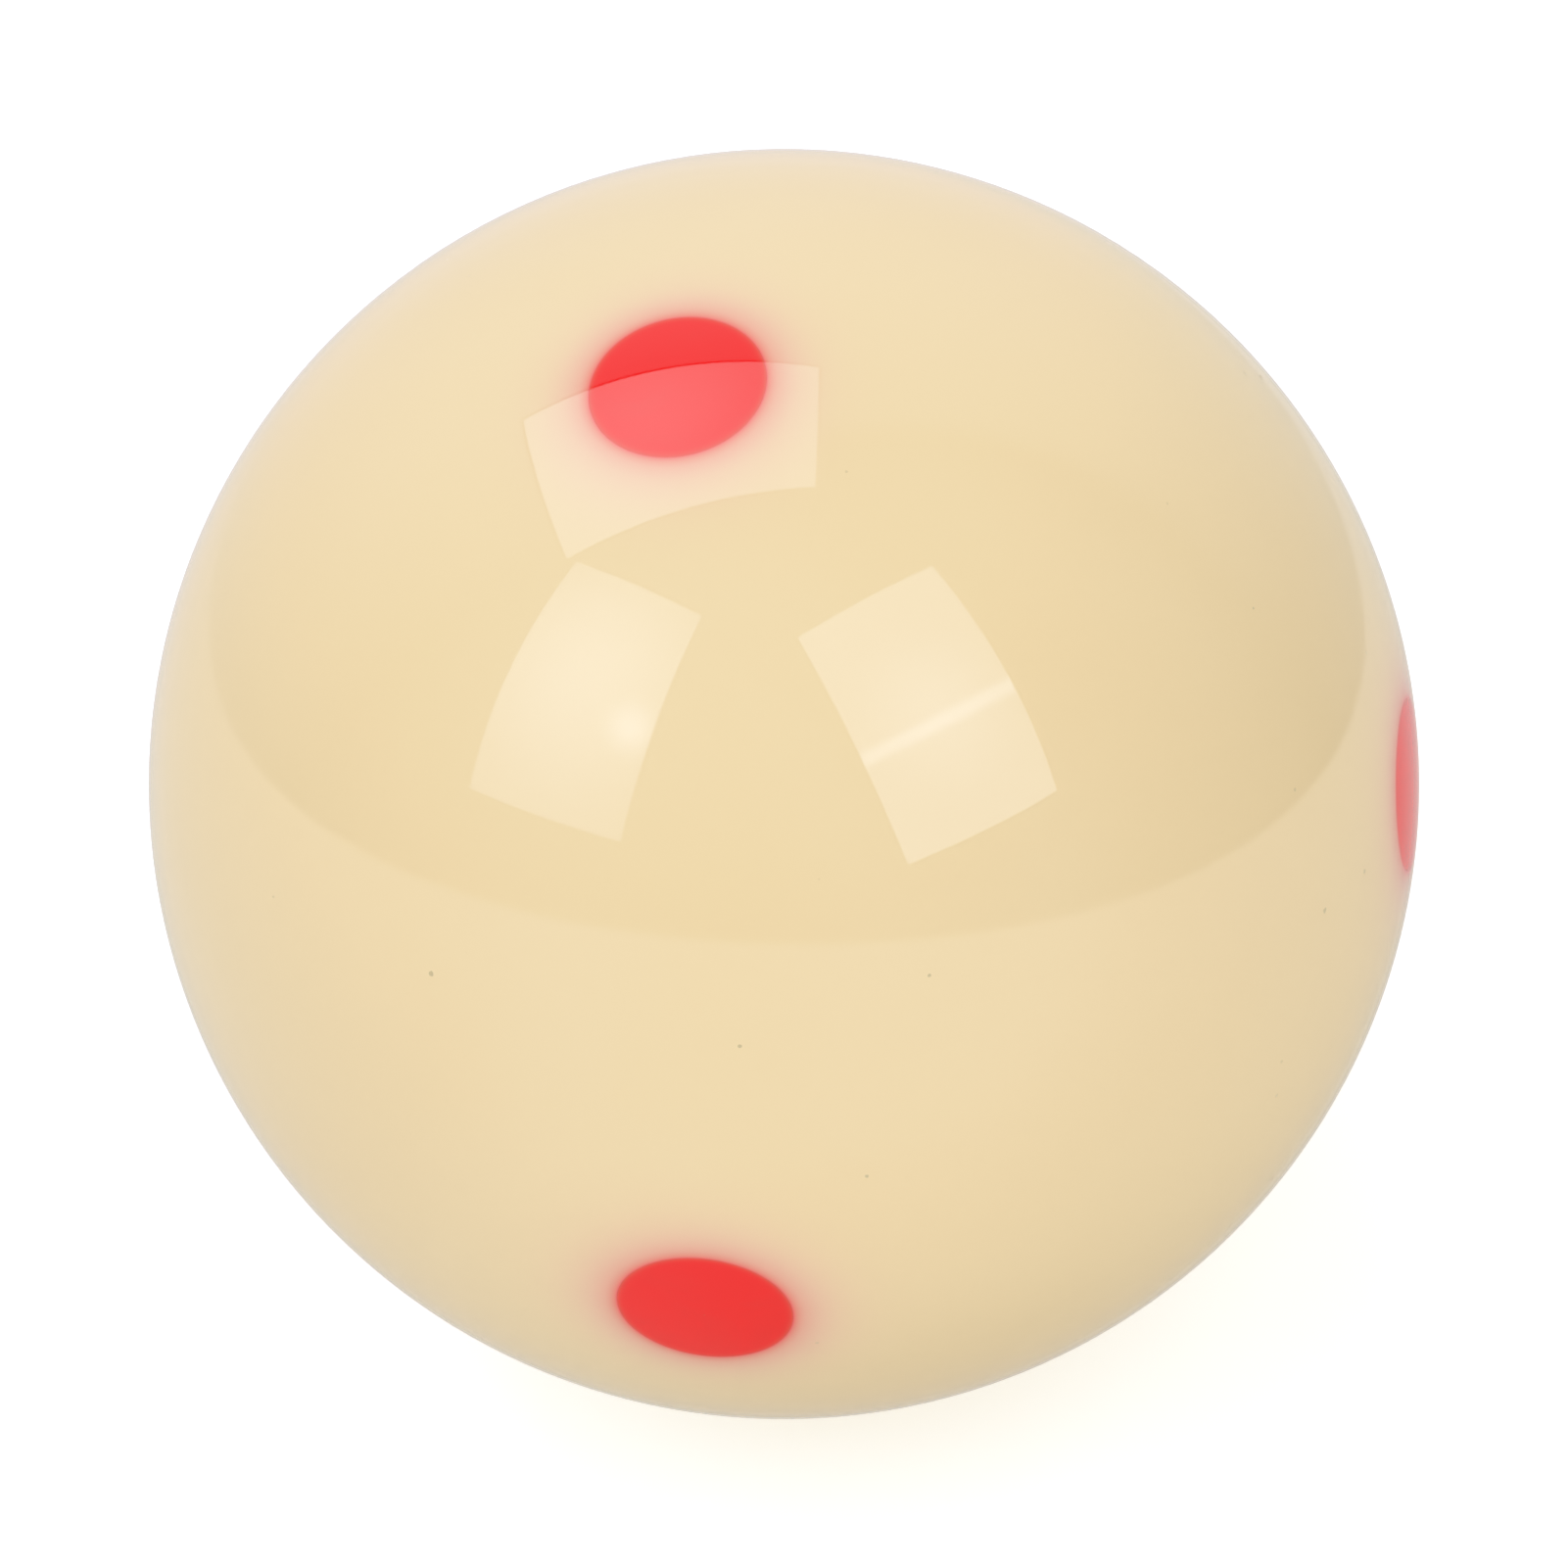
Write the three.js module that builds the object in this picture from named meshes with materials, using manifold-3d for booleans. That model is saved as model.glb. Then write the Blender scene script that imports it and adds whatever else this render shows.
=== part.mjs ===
// A six-dot practice cue ball: one cast resin body with six blind bores, and a red resin plug
// bonded flush in each bore. Millimetres, +Z up, origin at the centre of the ball.

import * as THREE from "three";
import { mergeVertices } from "three/addons/utils/BufferGeometryUtils.js";
import Module from "manifold-3d";

// Driving dimensions.
const ballDiameter = 57.15; // the regulation size, 2 1/4 in
const dotDiameter = 7.7; // a red dot, measured across the plug that shows it
const plugWallDepth = 5; // down the plug's axis, from the ball's surface to the end of the straight wall
const drillPointDegrees = 118; // included angle of the drill that makes a bore, and of the plug's end
const bondGap = 0.3; // between a plug and its bore, all round

// How finely the round surfaces are divided.
const bodyDetail = 15; // odd, so that each plug's axis meets the body at a vertex
const sidesRound = 48;
const capRings = 4;

const ballRadius = ballDiameter / 2;
const dotRadius = dotDiameter / 2;

// The six dots sit where three square axes leave the ball.
const dotDirections = {
  top: new THREE.Vector3(0, 0, 1),
  bottom: new THREE.Vector3(0, 0, -1),
  front: new THREE.Vector3(0, -1, 0),
  back: new THREE.Vector3(0, 1, 0),
  right: new THREE.Vector3(1, 0, 0),
  left: new THREE.Vector3(-1, 0, 0),
};

const ivoryResin = new THREE.MeshStandardMaterial({ color: 0xf1dcb0, roughness: 0.05, metalness: 0 });
const redResin = new THREE.MeshStandardMaterial({ color: 0xe83a3c, roughness: 0.05, metalness: 0 });

// The end of a plug or a bore: a drill point whose cone meets a wall of the given radius.
function drillPoint(radius) {
  const slope = Math.tan(THREE.MathUtils.degToRad(drillPointDegrees / 2));
  const wallEnd = ballRadius - plugWallDepth;
  return [new THREE.Vector2(0, wallEnd - radius / slope), new THREE.Vector2(radius, wallEnd)];
}

// A plug's profile: the drill point, the straight wall, and a cap that follows the ball's surface.
function plugProfile() {
  const rimAngle = Math.asin(dotRadius / ballRadius);
  const cap = [];
  for (let ring = 0; ring <= capRings; ring += 1) {
    const angle = rimAngle * (1 - ring / capRings);
    cap.push(new THREE.Vector2(ballRadius * Math.sin(angle), ballRadius * Math.cos(angle)));
  }
  return [...drillPoint(dotRadius), ...cap];
}

// The drill that cuts a bore: wider than the plug by the bond gap, and long enough to leave the ball.
function drillProfile() {
  const radius = dotRadius + bondGap;
  const clearOfBall = ballRadius + bondGap;
  return [
    ...drillPoint(radius),
    new THREE.Vector2(radius, clearOfBall),
    new THREE.Vector2(0, clearOfBall),
  ];
}

// Turns a lathe's own +Y axis to one of the dots.
function towards(direction) {
  return new THREE.Quaternion().setFromUnitVectors(new THREE.Vector3(0, 1, 0), direction);
}

const wasm = await Module();
wasm.setup();

// A closed mesh as a solid that can be cut.
function solidOf(geometry) {
  const bare = geometry.clone();
  bare.deleteAttribute("normal");
  bare.deleteAttribute("uv");
  const merged = mergeVertices(bare);
  return new wasm.Manifold(
    new wasm.Mesh({
      numProp: 3,
      vertProperties: merged.attributes.position.array,
      triVerts: new Uint32Array(merged.index.array),
    }),
  );
}

// A solid back as a geometry, with flat shading normals.
function geometryOf(solid) {
  const mesh = solid.getMesh();
  const geometry = new THREE.BufferGeometry();
  geometry.setAttribute("position", new THREE.BufferAttribute(mesh.vertProperties, 3));
  geometry.setIndex(new THREE.BufferAttribute(mesh.triVerts, 1));
  geometry.computeVertexNormals();
  return geometry;
}

// The ball body: a cast sphere with one blind bore for each dot.
function ballBody() {
  const drill = new THREE.LatheGeometry(drillProfile(), sidesRound);
  let body = solidOf(new THREE.IcosahedronGeometry(ballRadius, bodyDetail));
  for (const direction of Object.values(dotDirections)) {
    body = body.subtract(solidOf(drill.clone().applyQuaternion(towards(direction))));
  }
  const mesh = new THREE.Mesh(geometryOf(body), ivoryResin);
  mesh.name = "ball_body";
  return mesh;
}

// The six plugs, alike and each turned to its own dot.
function dotPlugs() {
  const plug = new THREE.LatheGeometry(plugProfile(), sidesRound);
  return Object.entries(dotDirections).map(([place, direction]) => {
    const mesh = new THREE.Mesh(plug, redResin);
    mesh.name = `dot_plug_${place}`;
    mesh.quaternion.copy(towards(direction));
    return mesh;
  });
}

const cueBall = new THREE.Group();
cueBall.name = "cue_ball";
cueBall.add(ballBody(), ...dotPlugs());

export default cueBall;
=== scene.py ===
import math

import bmesh
import bpy
from mathutils import Matrix, Vector


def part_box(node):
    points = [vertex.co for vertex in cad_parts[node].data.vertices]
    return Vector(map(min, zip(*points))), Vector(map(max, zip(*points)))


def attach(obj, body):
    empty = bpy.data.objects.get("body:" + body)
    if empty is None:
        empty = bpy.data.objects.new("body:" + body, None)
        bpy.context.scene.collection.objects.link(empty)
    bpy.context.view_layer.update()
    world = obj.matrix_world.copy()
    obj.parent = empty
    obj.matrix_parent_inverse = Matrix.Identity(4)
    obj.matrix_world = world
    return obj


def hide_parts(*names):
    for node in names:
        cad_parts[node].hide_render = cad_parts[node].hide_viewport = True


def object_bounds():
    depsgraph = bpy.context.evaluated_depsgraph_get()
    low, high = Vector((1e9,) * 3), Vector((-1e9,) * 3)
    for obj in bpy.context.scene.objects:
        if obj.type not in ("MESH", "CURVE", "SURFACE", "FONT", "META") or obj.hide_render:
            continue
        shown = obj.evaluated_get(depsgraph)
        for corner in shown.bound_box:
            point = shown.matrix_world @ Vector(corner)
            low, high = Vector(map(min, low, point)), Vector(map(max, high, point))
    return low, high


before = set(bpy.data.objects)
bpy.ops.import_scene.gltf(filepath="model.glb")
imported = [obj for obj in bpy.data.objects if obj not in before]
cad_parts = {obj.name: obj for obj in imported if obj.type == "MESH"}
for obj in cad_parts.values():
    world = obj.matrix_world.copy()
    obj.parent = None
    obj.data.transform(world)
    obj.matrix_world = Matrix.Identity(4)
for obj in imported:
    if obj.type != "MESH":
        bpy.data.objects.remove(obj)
cad_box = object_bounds()


# The ball body. It is one casting of ivory resin, drilled on three square axes with six blind
# bores, and ground and polished after the plugs are bonded in. Six like patches cover it, each
# from one bore's edge to the edges of its sixth of the ball.

ball_radius = (cad_box[1].z - cad_box[0].z) / 2
top_plug_low, top_plug_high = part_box("dot_plug_top")
plug_radius = (top_plug_high.x - top_plug_low.x) / 2
plug_tip_height = top_plug_low.z
drill_point_angle = math.radians(118)
bond_line = 0.002e-3
broken_edge = 0.004e-3

sides_round = 128
edge_steps = 2
wall_steps = 6
point_steps = 4
rings_per_patch = 30
ring_crowding = 1.35
same_place = 1e-7
sharpest_smooth_edge = math.radians(30)

# A dot is the outer end of a plug. All six lie where three square axes leave the ball, so what is
# made at the top is turned to each of them.
turn_to_dot = {
    "top": Matrix.Identity(3),
    "bottom": Matrix.Rotation(math.pi, 3, "X"),
    "front": Matrix.Rotation(math.pi / 2, 3, "X"),
    "back": Matrix.Rotation(-math.pi / 2, 3, "X"),
    "right": Matrix.Rotation(math.pi / 2, 3, "Y"),
    "left": Matrix.Rotation(-math.pi / 2, 3, "Y"),
}


def bore_outline(radius, edge_side):
    """From the ball's surface to the drill point, as (distance from the axis, height) pairs.

    edge_side is 1 for a bore, whose edge is rounded outwards, and -1 for a plug, rounded inwards.
    """
    middle = radius + edge_side * broken_edge
    middle_height = math.sqrt((ball_radius - broken_edge) ** 2 - middle**2)
    lean = -edge_side * math.asin(middle / (ball_radius - broken_edge))
    outline = []
    for step in range(edge_steps + 1):
        turn = lean + (math.pi / 2 - lean) * step / edge_steps
        reach = -edge_side * broken_edge * math.sin(turn)
        outline.append((middle + reach, middle_height + broken_edge * math.cos(turn)))
    slope = math.tan(drill_point_angle / 2)
    tip = plug_tip_height - (radius - plug_radius) / slope
    wall_top = outline[-1][1]
    wall_end = tip + radius / slope
    for step in range(1, wall_steps + 1):
        outline.append((radius, wall_top + (wall_end - wall_top) * step / wall_steps))
    for step in range(1, point_steps):
        share = 1 - step / point_steps
        outline.append((radius * share, tip + radius * share / slope))
    return outline, tip


def ring_round_axis(radius, height):
    """One ring of points round a dot's axis."""
    turns = (2 * math.pi * side / sides_round for side in range(sides_round))
    return [Vector((radius * math.cos(t), radius * math.sin(t), height)) for t in turns]


def skin_rings(builder, rings, end=None, start=None):
    """Four-sided faces between rings, and a fan to a single point at either end."""
    rows = [[builder.verts.new(point) for point in ring] for ring in rings]
    for row, next_row in zip(rows, rows[1:]):
        for side in range(sides_round):
            after = (side + 1) % sides_round
            builder.faces.new((row[side], row[after], next_row[after], next_row[side]))
    for point, row in ((start, rows[0]), (end, rows[-1])):
        if point is not None:
            middle = builder.verts.new(point)
            for side in range(sides_round):
                builder.faces.new((middle, row[side], row[(side + 1) % sides_round]))


def ground_piece(name, builder):
    """A finished mesh whose outer faces are shaded as the true sphere that grinding leaves."""
    bmesh.ops.remove_doubles(builder, verts=builder.verts, dist=same_place)
    bmesh.ops.recalc_face_normals(builder, faces=builder.faces)
    mesh = bpy.data.meshes.new(name)
    builder.to_mesh(mesh)
    builder.free()
    mesh.shade_smooth()
    mesh.set_sharp_from_angle(angle=sharpest_smooth_edge)
    normals = []
    for face in mesh.polygons:
        corners = [mesh.vertices[corner].co for corner in face.vertices]
        ground = all(abs(corner.length - ball_radius) < same_place for corner in corners)
        normals.extend(corner.normalized() if ground else Vector() for corner in corners)
    mesh.normals_split_custom_set(normals)
    piece = bpy.data.objects.new(name, mesh)
    bpy.context.collection.objects.link(piece)
    return piece


def sixth_edge(turn):
    """The angle at the ball's centre from a dot's middle to the edge of its sixth of the ball."""
    lean = (turn + math.pi / 4) % (math.pi / 2) - math.pi / 4
    return math.atan(1 / math.cos(lean))


def ball_patch():
    """The rings of one sixth, from its outer edge to the drill point at the end of its bore."""
    outline, tip = bore_outline(plug_radius + bond_line, 1)
    rim_angle = math.atan2(*outline[0])
    rings = []
    for ring in range(rings_per_patch, 0, -1):
        share = (ring / rings_per_patch) ** ring_crowding
        points = []
        for side in range(sides_round):
            turn = 2 * math.pi * side / sides_round
            angle = rim_angle + (sixth_edge(turn) - rim_angle) * share
            across = ball_radius * math.sin(angle)
            height = ball_radius * math.cos(angle)
            points.append(Vector((across * math.cos(turn), across * math.sin(turn), height)))
        rings.append(points)
    rings.extend(ring_round_axis(*place) for place in outline)
    return rings, Vector((0, 0, tip))


builder = bmesh.new()
patch_rings, patch_tip = ball_patch()
for turn in turn_to_dot.values():
    turned_rings = [[turn @ point for point in ring] for ring in patch_rings]
    skin_rings(builder, turned_rings, end=turn @ patch_tip)
ball = ground_piece("resin_ball", builder)


def place_node(tree, kind, settings=None, **inputs):
    """A shader node with its settings and input values. An input given as a socket is linked."""
    node = tree.nodes.new(kind)
    for name, value in (settings or {}).items():
        setattr(node, name, value)
    for name, value in inputs.items():
        socket = node.inputs[int(name[1:]) if name[0] == "_" else name.replace("_", " ")]
        if isinstance(value, bpy.types.NodeSocket):
            tree.links.new(value, socket)
        else:
            socket.default_value = value
    return node


def calculate(tree, operation, *values):
    """A Math node's result."""
    inputs = {f"_{place}": value for place, value in enumerate(values)}
    return place_node(tree, "ShaderNodeMath", {"operation": operation}, **inputs).outputs[0]


def measure(tree, operation, first, second):
    """The number that a Vector Math node makes of two vectors."""
    node = place_node(tree, "ShaderNodeVectorMath", {"operation": operation}, _0=first, _1=second)
    return node.outputs["Value"]


def noise(tree, place, scale, detail, **more):
    """A Noise texture's value."""
    node = place_node(tree, "ShaderNodeTexNoise", Vector=place, Scale=scale, Detail=detail, **more)
    return node.outputs[0]


def blend(tree, share, first, second):
    """A colour between two others."""
    node = place_node(tree, "ShaderNodeMix", {"data_type": "RGBA"}, _0=share, _6=first, _7=second)
    return node.outputs[2]


def fade(tree, value, low, high, at_low, at_high):
    """A value carried smoothly from one range to another, and held at both ends."""
    settings = {"interpolation_type": "SMOOTHSTEP", "clamp": True}
    node = place_node(
        tree, "ShaderNodeMapRange", settings, _0=value, _1=low, _2=high, _3=at_low, _4=at_high
    )
    return node.outputs[0]


def new_group(name, inputs, outputs):
    """An empty node group with named number sockets, its input node and its output node."""
    group = bpy.data.node_groups.new(name, "ShaderNodeTree")
    for socket in inputs:
        group.interface.new_socket(name=socket, in_out="INPUT", socket_type="NodeSocketFloat")
    for socket in outputs:
        group.interface.new_socket(name=socket, in_out="OUTPUT", socket_type="NodeSocketFloat")
    return group, group.nodes.new("NodeGroupInput"), group.nodes.new("NodeGroupOutput")


def use_group(tree, group, **inputs):
    """A node that stands for a node group."""
    return place_node(tree, "ShaderNodeGroup", {"node_tree": group}, **inputs)


# What buffing leaves on any resin face: a mirror polish, a little uneven from hand to hand, with
# hairline scratches from play that run in long arcs.
smoothest = 0.01
hairline_tilts = ((0.3, 0.9, 0.2), (1.1, -0.4, 0.7), (-0.6, 0.5, 1.3))
hairline_stretch = (900, 900, 40)

buffed, given, made = new_group(
    "buffed face", ("Polish", "Haze", "Scratches"), ("Roughness", "Scratch Height")
)
place = buffed.nodes.new("ShaderNodeTexCoord").outputs["Object"]
haze = calculate(buffed, "SUBTRACT", noise(buffed, place, 90, 3, Roughness=0.55), 0.5)
uneven = calculate(buffed, "MULTIPLY", haze, given.outputs["Haze"])
hairlines = None
for tilt in hairline_tilts:
    turned = place_node(
        buffed, "ShaderNodeMapping", Vector=place, Rotation=tilt, Scale=hairline_stretch
    ).outputs[0]
    cell = place_node(
        buffed, "ShaderNodeTexVoronoi", {"feature": "F1"}, Vector=turned, Scale=0.35, Randomness=1
    )
    line = fade(buffed, cell.outputs["Distance"], 0.03, 0.07, 1, 0)
    hairlines = line if hairlines is None else calculate(buffed, "MAXIMUM", hairlines, line)
scratched = calculate(buffed, "MULTIPLY", hairlines, given.outputs["Scratches"])
polished = calculate(buffed, "ADD", given.outputs["Polish"], uneven)
rough = calculate(buffed, "ADD", polished, scratched)
buffed.links.new(calculate(buffed, "MAXIMUM", rough, smoothest), made.inputs["Roughness"])
buffed.links.new(calculate(buffed, "MULTIPLY", scratched, -1), made.inputs["Scratch Height"])

# How far a point lies beyond the edge of the nearest dot, or short of it where the value is below
# zero. The nearest dot's axis is the largest of the three co-ordinates, so one sum serves all six.
dot_edge, given, made = new_group("dot edge", ("Dot Radius",), ("Beyond",))
place = dot_edge.nodes.new("ShaderNodeTexCoord").outputs["Object"]
parts = place_node(dot_edge, "ShaderNodeSeparateXYZ", Vector=place)
reaches = [calculate(dot_edge, "ABSOLUTE", parts.outputs[axis]) for axis in "XYZ"]
along = calculate(dot_edge, "MAXIMUM", reaches[0], reaches[1])
along = calculate(dot_edge, "MAXIMUM", along, reaches[2])
whole_square = measure(dot_edge, "DOT_PRODUCT", place, place)
along_square = calculate(dot_edge, "MULTIPLY", along, along)
across_square = calculate(dot_edge, "SUBTRACT", whole_square, along_square)
across = calculate(dot_edge, "SQRT", calculate(dot_edge, "MAXIMUM", across_square, 0))
beyond = calculate(dot_edge, "SUBTRACT", across, given.outputs["Dot Radius"])
dot_edge.links.new(beyond, made.inputs["Beyond"])

# Specks of grit pressed into the face in play, each one ragged at its edge.
specked, given, made = new_group("play specks", ("Size",), ("Speck",))
place = specked.nodes.new("ShaderNodeTexCoord").outputs["Object"]
cell = place_node(
    specked, "ShaderNodeTexVoronoi", {"feature": "F1"}, Vector=place, Scale=230, Randomness=1
)
raggedness = calculate(specked, "MULTIPLY", noise(specked, place, 9000, 1), 0.02)
from_middle = calculate(specked, "ADD", cell.outputs["Distance"], raggedness)
outside = given.outputs["Size"]
core = calculate(specked, "MULTIPLY", outside, 0.5)
speck = place_node(
    specked, "ShaderNodeMapRange", {"clamp": True}, _0=from_middle, _1=core, _2=outside, _3=1, _4=0
)
specked.links.new(speck.outputs[0], made.inputs["Speck"])

# Any resin face: buffed, and shining as cast resin does.
resin_ior = 1.58
polish_left = {"Polish": 0.035, "Haze": 0.03, "Scratches": 0.12}
scratch_depth = 2e-6
mm_per_m = 1000


def polished_resin(name):
    """A resin material, its node tree, its shader and the roughness that buffing leaves."""
    material = bpy.data.materials.new(name)
    material.use_nodes = True
    tree = material.node_tree
    shader = tree.nodes["Principled BSDF"]
    shader.inputs["IOR"].default_value = resin_ior
    polish = use_group(tree, buffed, **polish_left)
    scratches = polish.outputs["Scratch Height"]
    bump = place_node(
        tree, "ShaderNodeBump", Strength=0.3, Distance=scratch_depth, Height=scratches
    )
    tree.links.new(bump.outputs[0], shader.inputs["Normal"])
    tree.links.new(polish.outputs["Roughness"], shader.inputs["Roughness"])
    return material, tree, shader, polish.outputs["Roughness"]


def dies_away(tree, distance, reach_mm):
    """1 at no distance, and a like share less with each step further."""
    steps = calculate(tree, "MULTIPLY", distance, -mm_per_m / reach_mm)
    return calculate(tree, "EXPONENT", steps)


# Ivory resin: a warm cream cast through and through, cloudy by a few parts in a hundred. Near a
# plug the cream gives up green and blue light to the red beside it, because light spreads about
# a millimetre through the resin, and blue light less far. At the very edge more of it goes.
ivory = (0.893, 0.714, 0.427, 1)
warm_cloud = (0.888, 0.702, 0.411, 1)
grit = (0.3, 0.25, 0.11, 1)
light_spread_mm = (1.2, 1.12, 0.62)
light_taken = (0.07, 0.6, 0.54)
edge_spread_mm = 0.13
edge_taken = (-0.08, 0.25, 0.2)
ivory_speck_size = 0.035
ivory_marks_show = 0.45
ivory_marks_roughness = 0.4
nicks = [
    # (azimuth, elevation, half width in mm)
    (-25, 33, 0.12),
    (8, 30, 0.09),
    (17, 15, 0.08),
    (28, 32, 0.07),
    (75, 7, 0.11),
    (68, 10, 0.12),
    (84, 34, 0.06),
    (56, -18, 0.1),
    (119, 30, 0.1),
    (121, 26, 0.13),
    (-140, 12, 0.1),
    (-160, -30, 0.12),
    (-95, 25, 0.08),
]


def direction(azimuth, elevation):
    """A unit vector from the ball. Azimuth 0 is towards -Y and 90 towards +X, in degrees."""
    a = math.radians(azimuth)
    e = math.radians(elevation)
    return Vector((math.sin(a) * math.cos(e), -math.cos(a) * math.cos(e), math.sin(e)))


ivory_resin, tree, shader, roughness = polished_resin("ivory resin")
place = tree.nodes.new("ShaderNodeTexCoord").outputs["Object"]
cloud = noise(tree, place, 38, 2, Roughness=0.5, Distortion=0.6)
cream = blend(tree, fade(tree, cloud, 0.35, 0.7, 0, 1), ivory, warm_cloud)
edge = use_group(tree, dot_edge, Dot_Radius=plug_radius)
beyond = calculate(tree, "MAXIMUM", edge.outputs["Beyond"], 0)
at_edge = dies_away(tree, beyond, edge_spread_mm)
kept = []
for spread, taken, taken_at_edge in zip(light_spread_mm, light_taken, edge_taken):
    lost = calculate(tree, "MULTIPLY", dies_away(tree, beyond, spread), taken)
    lost_at_edge = calculate(tree, "MULTIPLY", at_edge, taken_at_edge)
    kept.append(calculate(tree, "SUBTRACT", 1, calculate(tree, "ADD", lost, lost_at_edge)))
blush = place_node(tree, "ShaderNodeCombineXYZ", _0=kept[0], _1=kept[1], _2=kept[2]).outputs[0]
multiply = {"data_type": "RGBA", "blend_type": "MULTIPLY"}
blushed = place_node(tree, "ShaderNodeMix", multiply, _0=1.0, _6=cream, _7=blush).outputs[2]
marks = use_group(tree, specked, Size=ivory_speck_size).outputs["Speck"]
ragged = calculate(tree, "ADD", noise(tree, place, 6000, 1), 0.5)
for azimuth, elevation, half_width in nicks:
    centre = direction(azimuth, elevation) * ball_radius
    away = measure(tree, "DISTANCE", place, centre)
    reach = calculate(tree, "MULTIPLY", ragged, half_width / mm_per_m)
    marks = calculate(tree, "MAXIMUM", marks, calculate(tree, "LESS_THAN", away, reach))
face = blend(tree, calculate(tree, "MULTIPLY", marks, ivory_marks_show), blushed, grit)
tree.links.new(face, shader.inputs["Base Color"])
marked = calculate(tree, "MULTIPLY", marks, ivory_marks_roughness)
tree.links.new(calculate(tree, "ADD", roughness, marked), shader.inputs["Roughness"])
ball.data.materials.append(ivory_resin)
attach(ball, "root")
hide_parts("ball_body")


# The six plugs. Each is a short rod of red resin with a drill-point end, bonded into its bore,
# and its outer end is ground with the ball, so the dot follows the ball's curve.

cap_rings = 20


def plug_rings():
    """A plug's rings, from near the dot's middle to the drill point, and the points at both ends."""
    outline, tip = bore_outline(plug_radius, -1)
    rim_angle = math.atan2(*outline[0])
    rings = []
    for ring in range(1, cap_rings):
        angle = rim_angle * ring / cap_rings
        rings.append(ring_round_axis(ball_radius * math.sin(angle), ball_radius * math.cos(angle)))
    rings.extend(ring_round_axis(*place) for place in outline)
    return rings, Vector((0, 0, ball_radius)), Vector((0, 0, tip))


# Red resin: the same resin dyed through, a shade uneven where the dye has settled. Its last tenth
# of a millimetre is duller, where the bond shows through and a little cream light crosses it.
red = (0.95, 0.006, 0.006, 1)
settled_red = (0.92, 0.009, 0.008, 1)
dull_edge = (0.62, 0.2, 0.13, 1)
dull_share = 0.5
red_edge_mm = 0.1
red_speck_size = 0.03
red_specks_show = 0.4

red_resin, tree, shader, _ = polished_resin("red resin")
place = tree.nodes.new("ShaderNodeTexCoord").outputs["Object"]
cloud = noise(tree, place, 260, 3, Roughness=0.5, Distortion=1.2)
dyed = blend(tree, fade(tree, cloud, 0.4, 0.75, 0, 1), red, settled_red)
edge = use_group(tree, dot_edge, Dot_Radius=plug_radius)
inward = calculate(tree, "ABSOLUTE", calculate(tree, "MINIMUM", edge.outputs["Beyond"], 0))
at_edge = dies_away(tree, inward, red_edge_mm)
dyed = blend(tree, calculate(tree, "MULTIPLY", at_edge, dull_share), dyed, dull_edge)
speck = use_group(tree, specked, Size=red_speck_size).outputs["Speck"]
face = blend(tree, calculate(tree, "MULTIPLY", speck, red_specks_show), dyed, grit)
tree.links.new(face, shader.inputs["Base Color"])

rings, dot_middle, tip = plug_rings()
for where, turn in turn_to_dot.items():
    builder = bmesh.new()
    turned_rings = [[turn @ point for point in ring] for ring in rings]
    skin_rings(builder, turned_rings, end=turn @ tip, start=turn @ dot_middle)
    plug = ground_piece(f"red_dot_{where}", builder)
    plug.data.materials.append(red_resin)
    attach(plug, "root")
    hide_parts(f"dot_plug_{where}")


# The floor. It is a plain sheet of pale paper under the ball, a little lit from within so that it
# stays near white. The ball mirrors a table that is painted on the surroundings below instead, so
# the sheet is left out of reflections.

floor_size = 1.6
floor_white = (0.9, 0.9, 0.9, 1)
floor_roughness = 0.9
floor_glow = 0.55
glow_tint = (0.97, 1, 0.82, 1)

bpy.ops.mesh.primitive_plane_add(size=floor_size, location=(0, 0, -ball_radius))
floor = bpy.context.object
floor.name = "floor"
paper = bpy.data.materials.new("pale paper")
paper.use_nodes = True
tree = paper.node_tree
shader = tree.nodes["Principled BSDF"]
shader.inputs["Base Color"].default_value = floor_white
shader.inputs["Roughness"].default_value = floor_roughness
shader.inputs["Specular IOR Level"].default_value = 0
shader.inputs["Emission Color"].default_value = glow_tint
seen = tree.nodes.new("ShaderNodeLightPath").outputs["Is Camera Ray"]
tree.links.new(calculate(tree, "MULTIPLY", seen, floor_glow), shader.inputs["Emission Strength"])
floor.data.materials.append(paper)
floor.visible_glossy = False


# The studio. Three like softboxes light the ball, one to each side and one overhead, in a dim room
# with a pale wall behind the ball. The studio's upright leans back from the ball's own, because
# the ball lies with its top dot turned towards the camera.

softbox_short = 0.6
softbox_long = 0.9
softbox_rim = 0.01
rim_setback = 0.004
rim_roughness = 0.9
bar_reach = 0.045
black_cloth = (0.01, 0.01, 0.01, 1)


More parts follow.
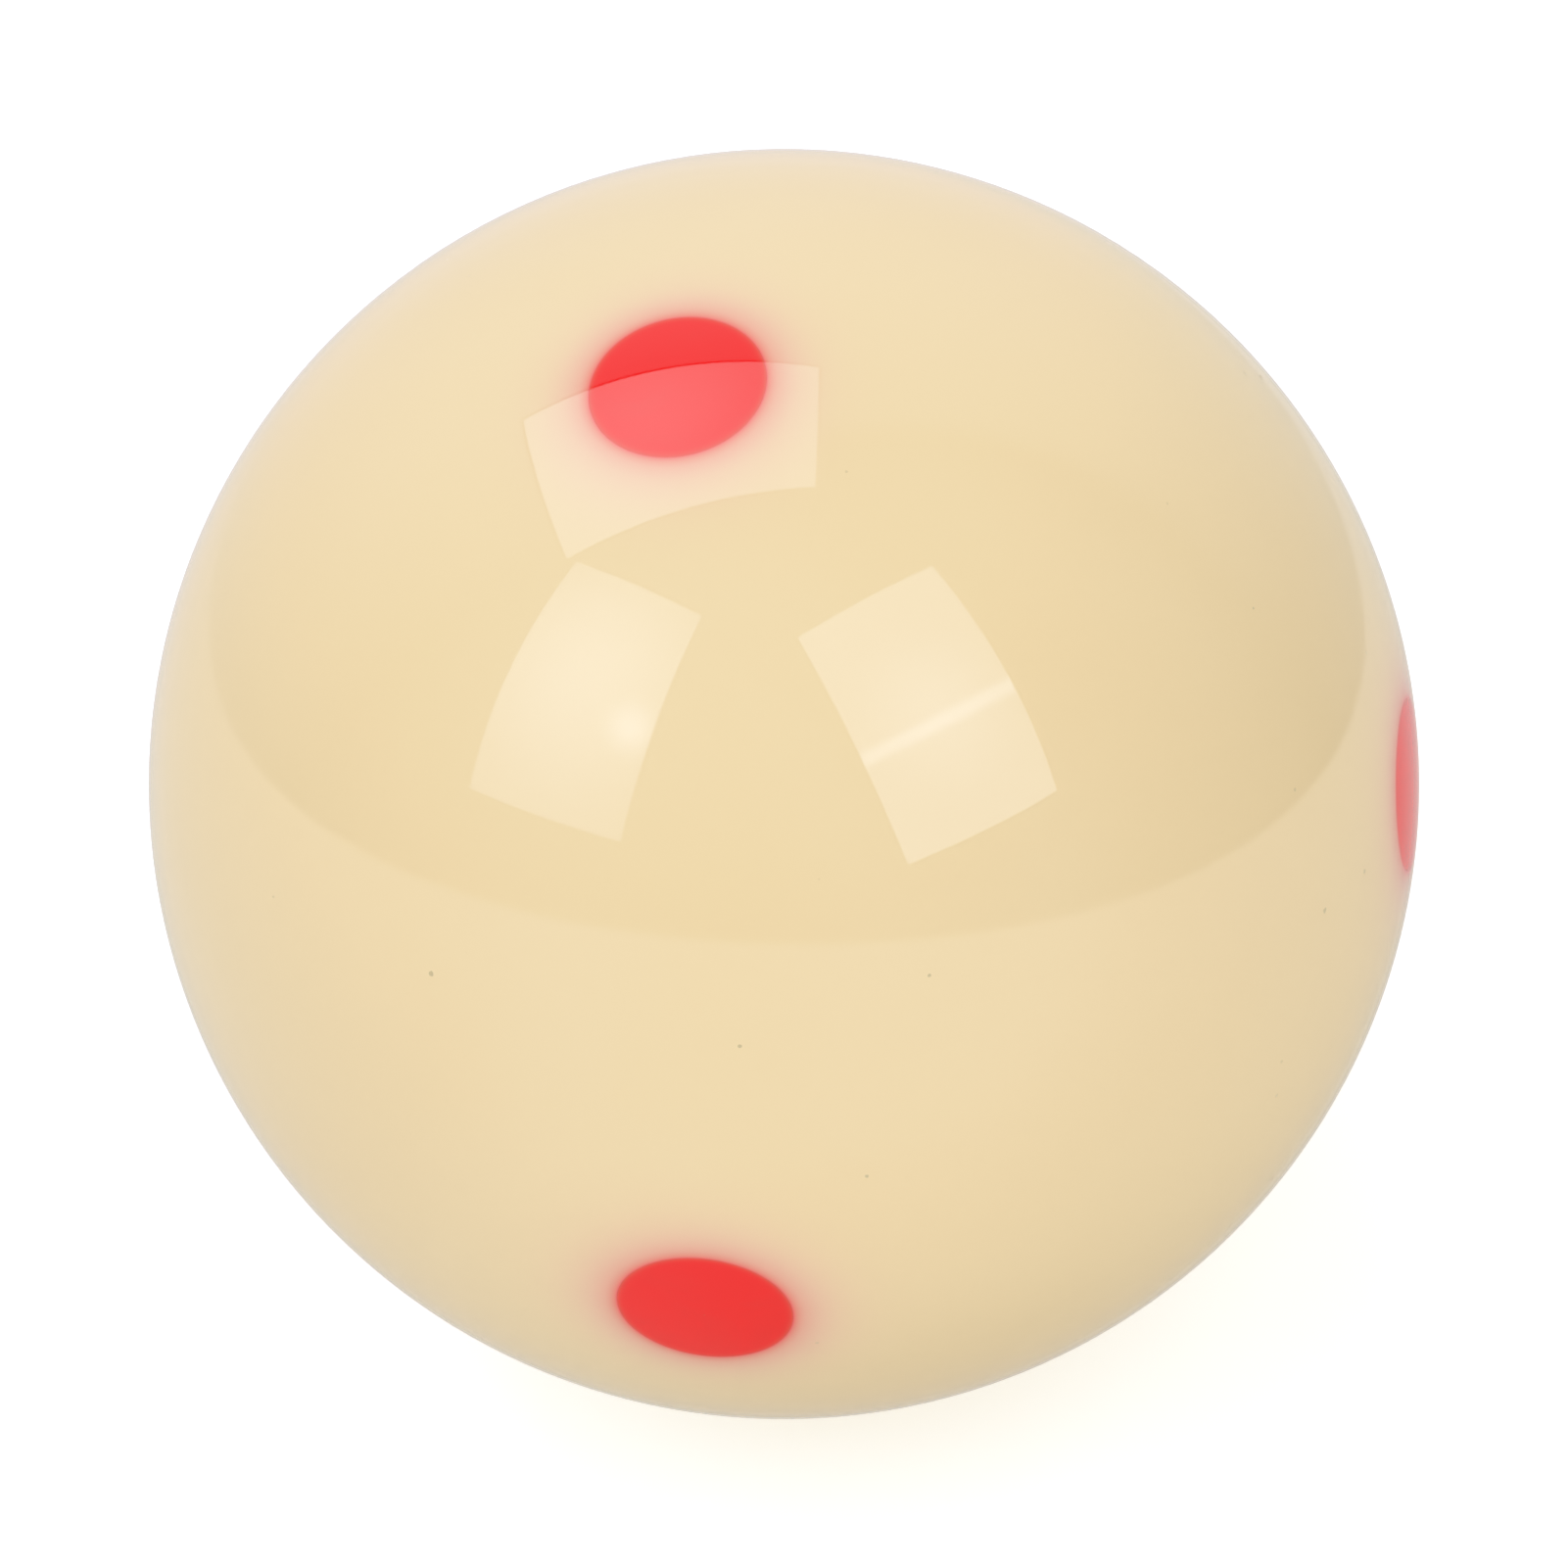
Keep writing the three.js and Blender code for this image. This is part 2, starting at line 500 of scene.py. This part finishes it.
def lamp_material(name, level, glows=(), bar_at=0.0, bar=0.0):
    """A lit sheet of cloth, brighter in round glows (x, y, reach, gain) and in one bar across it."""
    material = bpy.data.materials.new(name)
    material.use_nodes = True
    tree = material.node_tree
    tree.nodes.clear()
    place = tree.nodes.new("ShaderNodeTexCoord").outputs["Object"]
    parts = place_node(tree, "ShaderNodeSeparateXYZ", Vector=place)
    from_bar = calculate(tree, "ABSOLUTE", calculate(tree, "SUBTRACT", parts.outputs["Y"], bar_at))
    strength = calculate(tree, "ADD", fade(tree, from_bar, 0, bar_reach, bar, 0), level)
    for x, y, reach, gain in glows:
        away = measure(tree, "DISTANCE", place, (x, y, 0))
        strength = calculate(tree, "ADD", strength, fade(tree, away, 0, reach, gain, 0))
    light = place_node(tree, "ShaderNodeEmission", Strength=strength).outputs[0]
    back = tree.nodes.new("ShaderNodeNewGeometry").outputs["Backfacing"]
    black = place_node(tree, "ShaderNodeBsdfDiffuse", Color=black_cloth).outputs[0]
    mixed = place_node(tree, "ShaderNodeMixShader", _0=back, _1=light, _2=black)
    output = tree.nodes.new("ShaderNodeOutputMaterial")
    tree.links.new(mixed.outputs[0], output.inputs["Surface"])
    return material


def hang_sheet(name, middle, across, down, width, height, material):
    """A flat rectangle that faces the ball, from its middle and its two side directions."""
    mesh = bpy.data.meshes.new(name)
    corners = [(-width / 2, -height / 2, 0), (width / 2, -height / 2, 0)]
    corners += [(width / 2, height / 2, 0), (-width / 2, height / 2, 0)]
    mesh.from_pydata(corners, [], [(0, 1, 2, 3)])
    facing = across.cross(down)
    if facing.dot(middle) > 0:
        mesh.flip_normals()
    mesh.materials.append(material)
    sheet = bpy.data.objects.new(name, mesh)
    bpy.context.collection.objects.link(sheet)
    turned = Matrix((across, down, facing)).transposed().to_4x4()
    sheet.matrix_world = Matrix.Translation(middle) @ turned
    sheet.visible_camera = False


softboxes = {
    # name: (towards it, where it faces from, roll of its short side, distance)
    "softbox left": (direction(-53.5, 59.8), direction(-37.2, 47.4), 11.5, 1.17),
    "softbox right": (direction(65.6, 49.0), direction(54.4, 43.8), -16.0, 1.11),
    "softbox overhead": (direction(-160.9, 61.3), direction(-131.0, 55.9), 58.4, 1.14),
}
left_glows = [(0, 0.06, 0.6, 1.8), (0.22, -0.075, 0.13, 2.2)]
right_glows = [(0, -0.03, 0.35, 0.9)]
overhead_glows = [(-0.05, -0.12, 0.5, 0.9)]
cloth = {
    "softbox left": lamp_material("left cloth", 1.6, left_glows),
    "softbox right": lamp_material("right cloth", 2.3, right_glows, bar_at=-0.065, bar=1.9),
    "softbox overhead": lamp_material("overhead cloth", 2.0, overhead_glows),
}
rim_black = bpy.data.materials.new("black rim")
rim_black.use_nodes = True
shader = rim_black.node_tree.nodes["Principled BSDF"]
shader.inputs["Base Color"].default_value = black_cloth
shader.inputs["Roughness"].default_value = rim_roughness
for name, (aim, facing, roll, distance) in softboxes.items():
    level = Vector((0, 0, 1)).cross(facing).normalized()
    turn = math.radians(roll)
    across = level * math.cos(turn) + facing.cross(level) * math.sin(turn)
    down = facing.cross(across)
    hang_sheet(name, aim * distance, across, down, softbox_short, softbox_long, cloth[name])
    rim_middle = aim * (distance + rim_setback)
    rim_sides = (softbox_short + 2 * softbox_rim, softbox_long + 2 * softbox_rim)
    hang_sheet(f"{name} rim", rim_middle, across, down, *rim_sides, rim_black)

# The rest of the surroundings are painted on the world by direction. The ball mirrors a dim room, a
# wall lit from one side, and the pale table with the ball's own shadow under it. The same three
# fill the shadows more evenly, and the camera itself sees plain paper.
studio_up = direction(170, 57.7)
table_edge = -0.11
table_edge_blur = 0.01
wall_middle = direction(-165, 0)
wall_right_edge = direction(-149, -21)
wall_edge_blur = 0.03
ball_shadow = direction(40, -76)
ball_bounce = (1, 0.93, 0.82, 1)
white = (1, 1, 1, 1)
mirrored_room = (0.05, 0.24)
mirrored_wall = (0.88, 1.12)
mirrored_table = (0.3, 0.8)
room_fill = (0.18, 0.43)
wall_fill = 0.95
table_fill = 1.23
paper_level = 1.2

world = bpy.data.worlds.new("studio room")
bpy.context.scene.world = world
world.use_nodes = True
tree = world.node_tree
tree.nodes.clear()
outward = tree.nodes.new("ShaderNodeTexCoord").outputs["Generated"]


def towards(aim):
    """How squarely a direction from the ball points at an aim, from -1 to 1."""
    return measure(tree, "DOT_PRODUCT", outward, aim)


def carry(value, low, high, at_low, at_high):
    """A value carried evenly from one range to another, and held at both ends."""
    settings = {"clamp": True}
    node = place_node(
        tree, "ShaderNodeMapRange", settings, _0=value, _1=low, _2=high, _3=at_low, _4=at_high
    )
    return node.outputs[0]


def between(share, first, second):
    """A level between two others."""
    settings = {"data_type": "FLOAT"}
    return place_node(tree, "ShaderNodeMix", settings, _0=share, _2=first, _3=second).outputs[0]


from_edge = towards(studio_up)
on_table = carry(from_edge, table_edge - table_edge_blur, table_edge + table_edge_blur, 1, 0)
wall_glow = carry(towards(wall_middle), 0.2, 0.88, 0, 1)
left_of_edge = carry(towards(wall_right_edge), -wall_edge_blur, wall_edge_blur, 0, 1)
on_wall = calculate(tree, "MULTIPLY", wall_glow, left_of_edge)
from_shadow = measure(tree, "DISTANCE", outward, ball_shadow)
height = towards((0, 0, 1))
room = carry(height, 0.5, 0.95, *mirrored_room)
wall = carry(height, -0.1, 0.6, *mirrored_wall)
table = carry(from_shadow, 0.1, 1.05, *mirrored_table)
mirrored = between(on_table, between(on_wall, room, wall), table)
side_fill = carry(towards((1, 0, 0)), -0.6, 1, *room_fill)
fill = between(on_table, between(on_wall, side_fill, wall_fill), table_fill)
rays = tree.nodes.new("ShaderNodeLightPath").outputs
lit = between(rays["Is Glossy Ray"], fill, mirrored)
level = between(rays["Is Camera Ray"], lit, paper_level)
tint = blend(tree, carry(from_shadow, 0.4, 1, 0, 1), ball_bounce, white)
background = place_node(tree, "ShaderNodeBackground", Strength=level, Color=tint)
output = tree.nodes.new("ShaderNodeOutputWorld")
tree.links.new(background.outputs[0], output.inputs["Surface"])

# The camera: a long lens close to the ball, looking down on it and rolled a little.
camera_azimuth = 18.9
camera_elevation = 51.7
camera_roll = math.radians(-15)
camera_distance = 14.67 * ball_radius

back = direction(camera_azimuth, camera_elevation)
level = Vector((0, 0, 1)).cross(back).normalized()
right = level * math.cos(camera_roll) + back.cross(level) * math.sin(camera_roll)
lens = bpy.data.cameras.new("camera")
lens.lens = 213.5
lens.sensor_width = 36
camera = bpy.data.objects.new("camera", lens)
bpy.context.collection.objects.link(camera)
turned = Matrix((right, back.cross(right), back)).transposed().to_4x4()
camera.matrix_world = Matrix.Translation(back * camera_distance) @ turned
bpy.context.scene.camera = camera

# How light becomes colour: plainly, but red and green ease off near white, so that the ivory doesn't
# turn yellow where a softbox shines in it.
red_channel = 0
green_channel = 1
highest_level = 1.12
easing_starts = {red_channel: 0.86, green_channel: 0.7}

view = bpy.context.scene.view_settings
view.view_transform = "Standard"
view.look = "None"
view.use_curve_mapping = True
view.curve_mapping.clip_max_x = 1.2
view.curve_mapping.use_clip = True
for channel, start in easing_starts.items():
    curve = view.curve_mapping.curves[channel]
    curve.points[-1].location = (highest_level, 1)
    curve.points.new(start, start)
    for point in curve.points:
        point.handle_type = "VECTOR"
view.curve_mapping.update()
